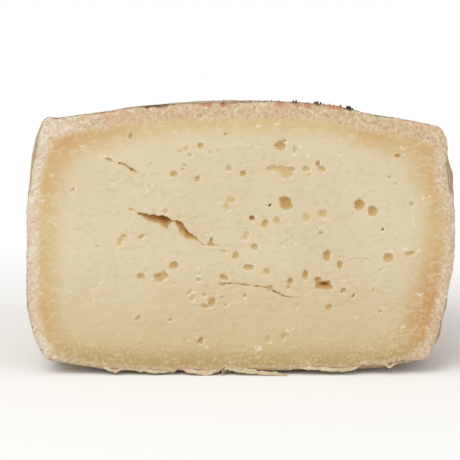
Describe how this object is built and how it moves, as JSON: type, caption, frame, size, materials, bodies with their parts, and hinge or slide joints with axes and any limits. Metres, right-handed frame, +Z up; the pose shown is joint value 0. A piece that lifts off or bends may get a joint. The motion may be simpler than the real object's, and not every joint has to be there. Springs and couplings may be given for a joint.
{
  "type": "half pecorino wheel",
  "caption": "Rather more than half of a small aged pecorino wheel, cut upright, with a domed top, bulging rough rind, scattered eyes and open cracks in the paste.",
  "frame": {"origin": "middle of the footprint's bounding box, on the table", "axes": "+X across the cut face, +Y from the cut face towards the round back, +Z up"},
  "size_m": [0.207, 0.1315, 0.1304],
  "materials": {
    "cheese": "dry aged cheese: ivory paste with a tan edge inside a rough cream rind"
  },
  "bodies": {
    "root": {"half_wheel": "cheese"}
  },
  "joints": []
}
